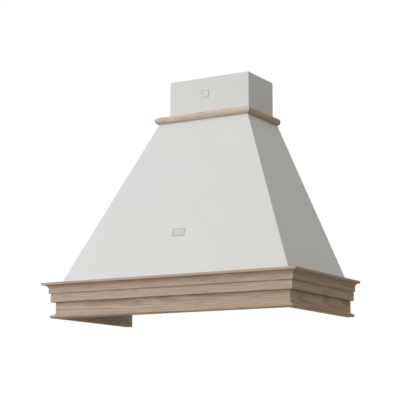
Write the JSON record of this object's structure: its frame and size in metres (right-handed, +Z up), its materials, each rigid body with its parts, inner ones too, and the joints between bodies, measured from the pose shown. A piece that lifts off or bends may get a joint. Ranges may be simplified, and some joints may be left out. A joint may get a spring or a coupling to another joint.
{
  "type": "range hood",
  "caption": "Wall-mounted range hood: off-white tapered steel canopy on a bleached oak cornice frame, oak crown moulding, telescopic chimney cover, mesh grease filters, lamps and blower.",
  "frame": {"origin": "middle of the four wall screw holes, on the wall plane at the back of the hood", "axes": "+X to the right along the wall, +Y into the wall, +Z up; the room is at -Y"},
  "size_m": [0.9, 0.461, 0.794],
  "materials": {
    "oak": "bleached and matt, with fine open grain",
    "painted_sheet": "off-white powder coat, satin",
    "galvanised_sheet": "zinc-coated, dull",
    "screw_steel": "zinc-plated",
    "dark_plastic": "moulded, fine grain",
    "motor_enamel": "baked enamel, satin",
    "grommet_rubber": "soft, matt",
    "capacitor_case": "smooth",
    "terminal_plastic": "moulded, matt",
    "lead_sheath": "smooth, satin",
    "button_metal": "satin",
    "filter_aluminium": "bright, lightly brushed",
    "catch_plastic": "moulded, matt",
    "lamp_rim": "satin chrome",
    "lamp_glass": "frosted",
    "lamp_heat_sink": "die-cast, matt",
    "badge_metal": "satin, blank"
  },
  "bodies": {
    "hood": {"fascia_front": "oak", "fascia_left": "oak", "fascia_right": "oak", "cornice_front": "oak", "cornice_left": "oak", "cornice_right": "oak", "crown_front": "oak", "crown_left": "oak", "crown_right": "oak", "canopy_shell": "painted_sheet", "back_plate": "galvanised_sheet", "base_pan": "painted_sheet", "pan_walls": "painted_sheet", "pan_flanges": "painted_sheet", "chimney_lower_cover": "painted_sheet", "wood_screws": "screw_steel", "machine_screws": "screw_steel", "scroll_wrap": "galvanised_sheet", "scroll_side_left": "galvanised_sheet", "scroll_side_right": "galvanised_sheet", "blower_brackets": "galvanised_sheet", "motor_body": "motor_enamel", "motor_bracket": "galvanised_sheet", "motor_grommets": "grommet_rubber", "outlet_transition": "dark_plastic", "duct_spigot": "dark_plastic", "flap_spindle": "screw_steel", "capacitor": "capacitor_case", "junction_box": "dark_plastic", "junction_box_lid": "dark_plastic", "cable_gland": "dark_plastic", "terminal_block": "terminal_plastic", "switch_block": "dark_plastic", "lamp_housing_left": "lamp_rim", "lamp_housing_right": "lamp_rim", "lamp_lenses": "lamp_glass", "led_modules": "lamp_heat_sink", "canopy_badge": "badge_metal", "chimney_badge": "badge_metal", "leads": "lead_sheath"},
    "upper_cover": {"chimney_upper_cover": "painted_sheet", "chimney_top_bracket": "galvanised_sheet", "bracket_screws": "screw_steel"},
    "rotor": {"impeller_disc": "galvanised_sheet", "impeller_rings": "galvanised_sheet", "impeller_blades": "galvanised_sheet", "motor_shaft": "screw_steel"},
    "front_flap": {"flap_front": "dark_plastic"},
    "rear_flap": {"flap_rear": "dark_plastic"},
    "left_filter": {"filter_frame_left": "filter_aluminium", "filter_mesh_left": "filter_aluminium"},
    "right_filter": {"filter_frame_right": "filter_aluminium", "filter_mesh_right": "filter_aluminium"},
    "left_catch": {"filter_catch_left": "catch_plastic"},
    "right_catch": {"filter_catch_right": "catch_plastic"},
    "off_button": {"button_off": "button_metal"},
    "low_button": {"button_low": "button_metal"},
    "medium_button": {"button_medium": "button_metal"},
    "high_button": {"button_high": "button_metal"},
    "lamp_button": {"button_lamp": "button_metal"}
  },
  "joints": [
    {"name": "chimney_slide", "type": "slide", "parent": "hood", "child": "upper_cover", "axis": [0, 0, 1], "range_m": [0, 0.235]},
    {"name": "impeller_spin", "type": "hinge", "parent": "hood", "child": "rotor", "pos_m": [0, -0.18941, -0.076], "axis": [1, 0, 0], "continuous": true},
    {"name": "front_flap_swing", "type": "hinge", "parent": "hood", "child": "front_flap", "pos_m": [0, -0.085, 0.099], "axis": [-1, 0, 0], "range_deg": [0, 75]},
    {"name": "rear_flap_swing", "type": "hinge", "parent": "hood", "child": "rear_flap", "pos_m": [0, -0.085, 0.099], "axis": [1, 0, 0], "range_deg": [0, 75]},
    {"name": "left_filter_tilt", "type": "hinge", "parent": "hood", "child": "left_filter", "pos_m": [-0.139, -0.034, -0.248], "axis": [1, 0, 0], "range_deg": [0, 75]},
    {"name": "left_catch_slide", "type": "slide", "parent": "left_filter", "child": "left_catch", "axis": [0, 1, 0], "range_m": [0, 0.006], "stiffness_N_per_m": 300, "springref_m": -0.004},
    {"name": "right_filter_tilt", "type": "hinge", "parent": "hood", "child": "right_filter", "pos_m": [0.139, -0.034, -0.248], "axis": [1, 0, 0], "range_deg": [0, 75]},
    {"name": "right_catch_slide", "type": "slide", "parent": "right_filter", "child": "right_catch", "axis": [0, 1, 0], "range_m": [0, 0.006], "stiffness_N_per_m": 300, "springref_m": -0.004},
    {"name": "off_button_press", "type": "slide", "parent": "hood", "child": "off_button", "axis": [0, 0, 1], "range_m": [0, 0.003], "stiffness_N_per_m": 400, "springref_m": -0.002},
    {"name": "low_button_press", "type": "slide", "parent": "hood", "child": "low_button", "axis": [0, 0, 1], "range_m": [0, 0.003], "stiffness_N_per_m": 400, "springref_m": -0.002},
    {"name": "medium_button_press", "type": "slide", "parent": "hood", "child": "medium_button", "axis": [0, 0, 1], "range_m": [0, 0.003], "stiffness_N_per_m": 400, "springref_m": -0.002},
    {"name": "high_button_press", "type": "slide", "parent": "hood", "child": "high_button", "axis": [0, 0, 1], "range_m": [0, 0.003], "stiffness_N_per_m": 400, "springref_m": -0.002},
    {"name": "lamp_button_press", "type": "slide", "parent": "hood", "child": "lamp_button", "axis": [0, 0, 1], "range_m": [0, 0.003], "stiffness_N_per_m": 400, "springref_m": -0.002}
  ]
}
